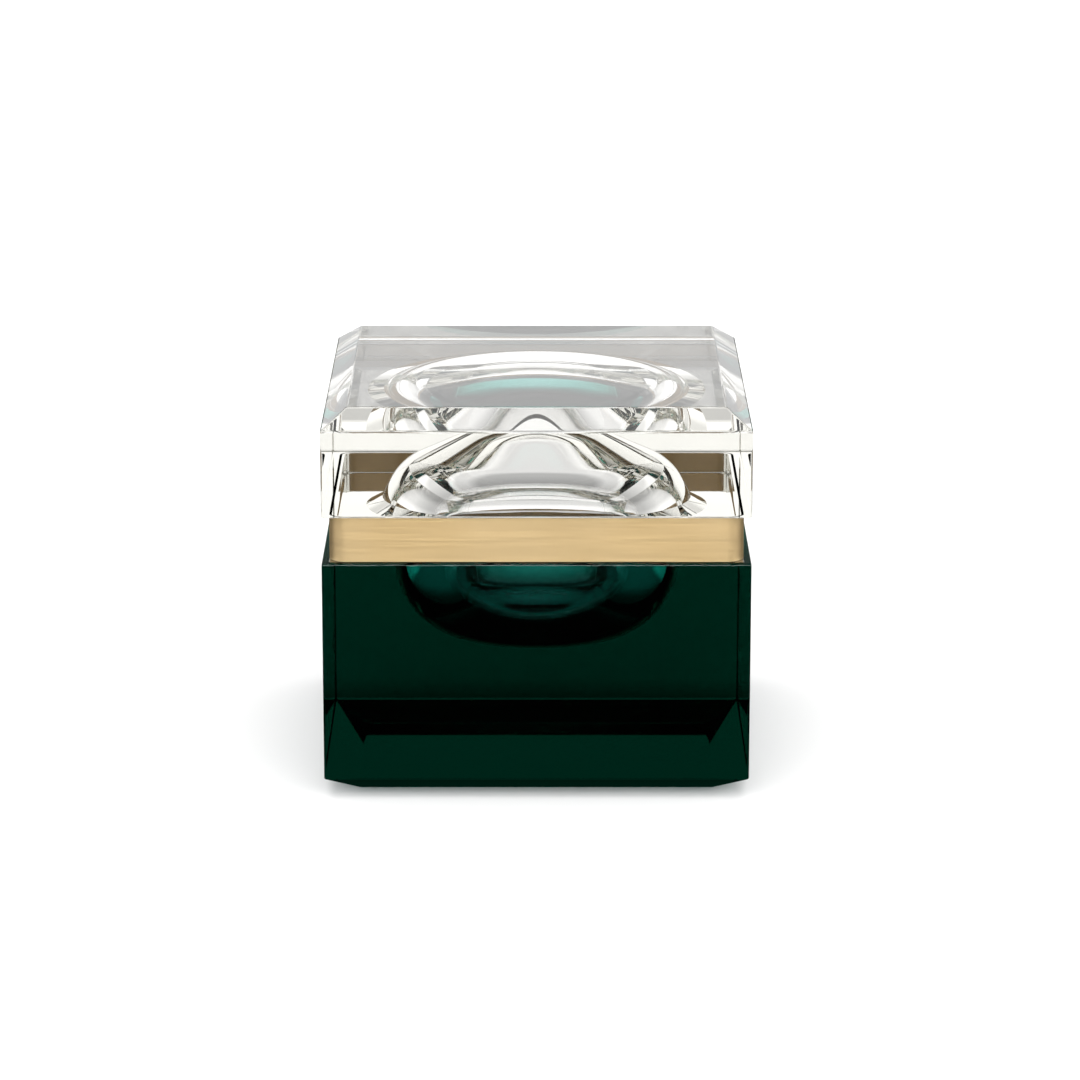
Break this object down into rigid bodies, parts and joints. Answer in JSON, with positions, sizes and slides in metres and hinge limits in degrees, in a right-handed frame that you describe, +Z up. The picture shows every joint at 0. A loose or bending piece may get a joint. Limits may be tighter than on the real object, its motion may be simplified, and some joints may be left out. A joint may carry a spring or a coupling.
{
  "type": "inkwell",
  "caption": "Square desk inkwell: green crystal base with a ground round well, brass collar, and a lift-off clear crystal lid with a domed hollow.",
  "frame": {"origin": "centre of the flat face the base stands on", "axes": "+Z up, the way the lid lifts off; +X to the right and +Y to the back, square to the sides of the blocks"},
  "size_m": [0.09, 0.09, 0.084],
  "materials": {
    "green_crystal": "polished",
    "clear_crystal": "polished",
    "brass": "satin",
    "cement": "cured clear adhesive"
  },
  "bodies": {
    "base": {"base_block": "green_crystal", "collar_cement": "cement", "collar": "brass"},
    "lid": {"lid_block": "clear_crystal"}
  },
  "joints": [
    {"name": "lid_lift", "type": "slide", "parent": "base", "child": "lid", "axis": [0, 0, 1], "range_m": [0, 0.06]}
  ]
}
